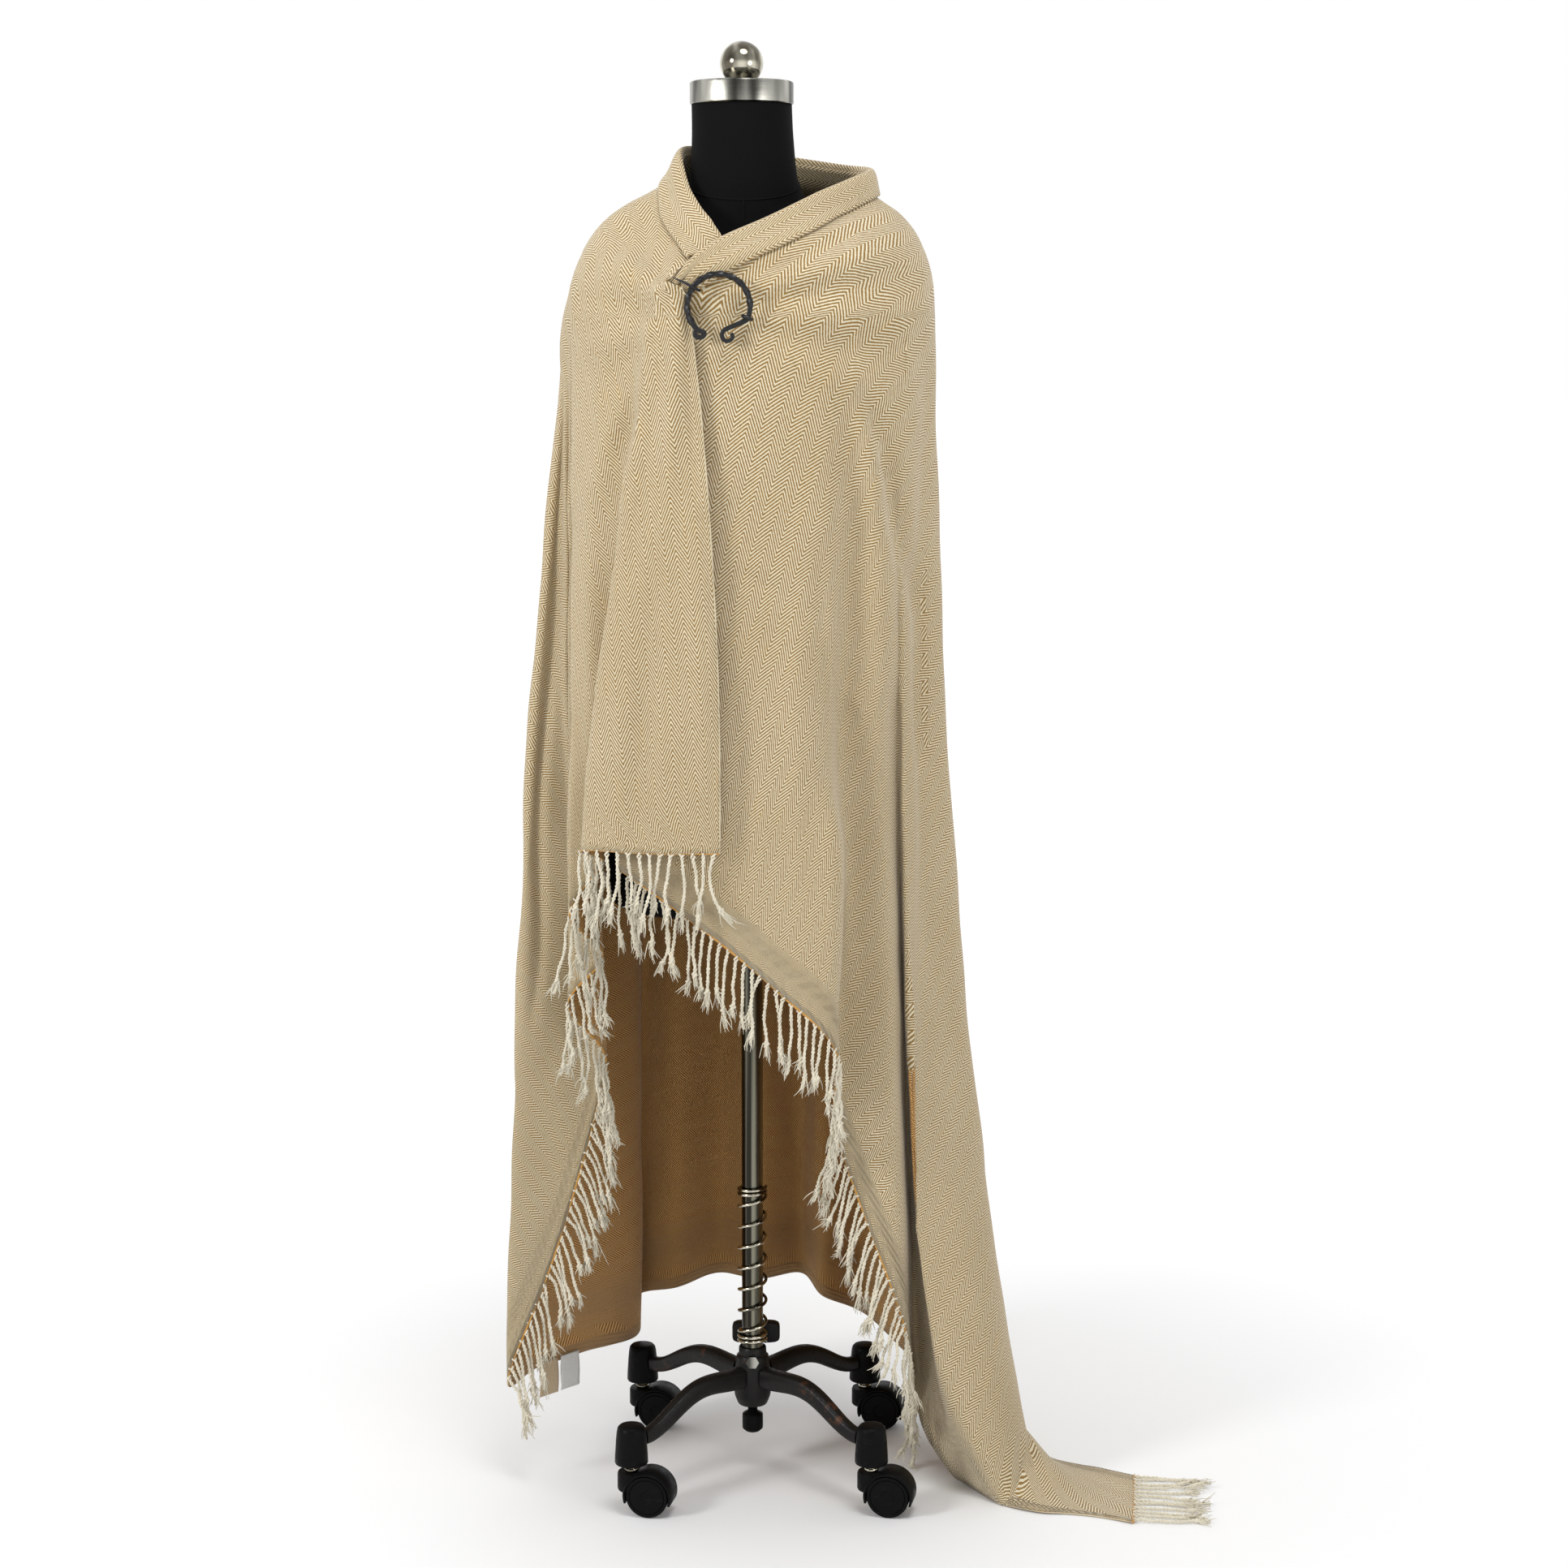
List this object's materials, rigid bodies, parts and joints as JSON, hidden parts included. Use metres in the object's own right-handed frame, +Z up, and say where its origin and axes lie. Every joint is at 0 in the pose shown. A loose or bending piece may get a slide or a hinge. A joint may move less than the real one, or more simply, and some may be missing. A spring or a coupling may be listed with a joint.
{
  "type": "cape on dress form with stand",
  "caption": "Shawl cape of herringbone cloth with fringed ends, pinned by an open ring brooch and worn on a limbless dress form on a wheeled stand.",
  "frame": {"origin": "on the floor, under the middle of the bounding box", "axes": "+Z up, +X to the viewer's right, the front faces -Y"},
  "size_m": [0.837, 0.4232, 1.6902],
  "materials": {
    "cloth": "herringbone weave, matte",
    "fringe": "twisted cords, matte",
    "jersey": "tight black jersey",
    "chrome": "polished",
    "brushed steel": "brushed",
    "black enamel": "satin enamel",
    "black plastic": "matte",
    "forged steel": "blackened and forged",
    "tan label": "woven tape",
    "white label": "satin tape"
  },
  "bodies": {
    "cape_and_stand": {"ball-finial": "chrome", "brooch-eye": "forged steel", "brooch-pin": "forged steel", "brooch-ring": "forged steel", "cape-flap": "cloth", "cape-left-back": "cloth", "cape-left-front": "cloth", "cape-right-back": "cloth", "cape-right-front": "cloth", "cape-right-side": "cloth", "cape-train": "cloth", "collar-back": "cloth", "collar-left": "cloth", "collar-right": "cloth", "dress-form": "jersey", "fringe-centre": "fringe", "fringe-flap": "fringe", "fringe-left-pleats": "fringe", "fringe-left-slope": "fringe", "fringe-right-fall": "fringe", "fringe-right-slope": "fringe", "fringe-train": "fringe", "height-pedal": "black enamel", "hood-front-left": "black plastic", "hood-front-right": "black plastic", "hood-rear-left": "black plastic", "hood-rear-right": "black plastic", "hub": "black enamel", "hub-bolt": "brushed steel", "hub-knob": "black plastic", "label-tan": "tan label", "label-white": "white label", "leg-front-left": "black enamel", "leg-front-right": "black enamel", "leg-rear-left": "black enamel", "leg-rear-right": "black enamel", "neck-cap": "brushed steel", "pole": "chrome", "pole-spring": "chrome"},
    "caster_front-left": {"caster-housing-front-left": "black plastic"},
    "wheels_front-left": {"caster-wheels-front-left": "black plastic"},
    "caster_front-right": {"caster-housing-front-right": "black plastic"},
    "wheels_front-right": {"caster-wheels-front-right": "black plastic"},
    "caster_rear-left": {"caster-housing-rear-left": "black plastic"},
    "wheels_rear-left": {"caster-wheels-rear-left": "black plastic"},
    "caster_rear-right": {"caster-housing-rear-right": "black plastic"},
    "wheels_rear-right": {"caster-wheels-rear-right": "black plastic"}
  },
  "joints": [
    {"name": "swivel_front-left", "type": "hinge", "parent": "cape_and_stand", "child": "caster_front-left", "pos_m": [-0.26444, -0.16669, 0.055], "axis": [0, 0, 1], "continuous": true},
    {"name": "roll_front-left", "type": "hinge", "parent": "caster_front-left", "child": "wheels_front-left", "pos_m": [-0.24292, -0.17126, 0.025], "axis": [0.2079, 0.9781, 0], "continuous": true},
    {"name": "swivel_front-right", "type": "hinge", "parent": "cape_and_stand", "child": "caster_front-right", "pos_m": [0.01556, -0.16669, 0.055], "axis": [0, 0, 1], "continuous": true},
    {"name": "roll_front-right", "type": "hinge", "parent": "caster_front-right", "child": "wheels_front-right", "pos_m": [0.03708, -0.17126, 0.025], "axis": [0.2079, 0.9781, 0], "continuous": true},
    {"name": "swivel_rear-left", "type": "hinge", "parent": "cape_and_stand", "child": "caster_rear-left", "pos_m": [-0.26444, 0.11331, 0.055], "axis": [0, 0, 1], "continuous": true},
    {"name": "roll_rear-left", "type": "hinge", "parent": "caster_rear-left", "child": "wheels_rear-left", "pos_m": [-0.24292, 0.10874, 0.025], "axis": [0.2079, 0.9781, 0], "continuous": true},
    {"name": "swivel_rear-right", "type": "hinge", "parent": "cape_and_stand", "child": "caster_rear-right", "pos_m": [0.01556, 0.11331, 0.055], "axis": [0, 0, 1], "continuous": true},
    {"name": "roll_rear-right", "type": "hinge", "parent": "caster_rear-right", "child": "wheels_rear-right", "pos_m": [0.03708, 0.10874, 0.025], "axis": [0.2079, 0.9781, 0], "continuous": true}
  ]
}
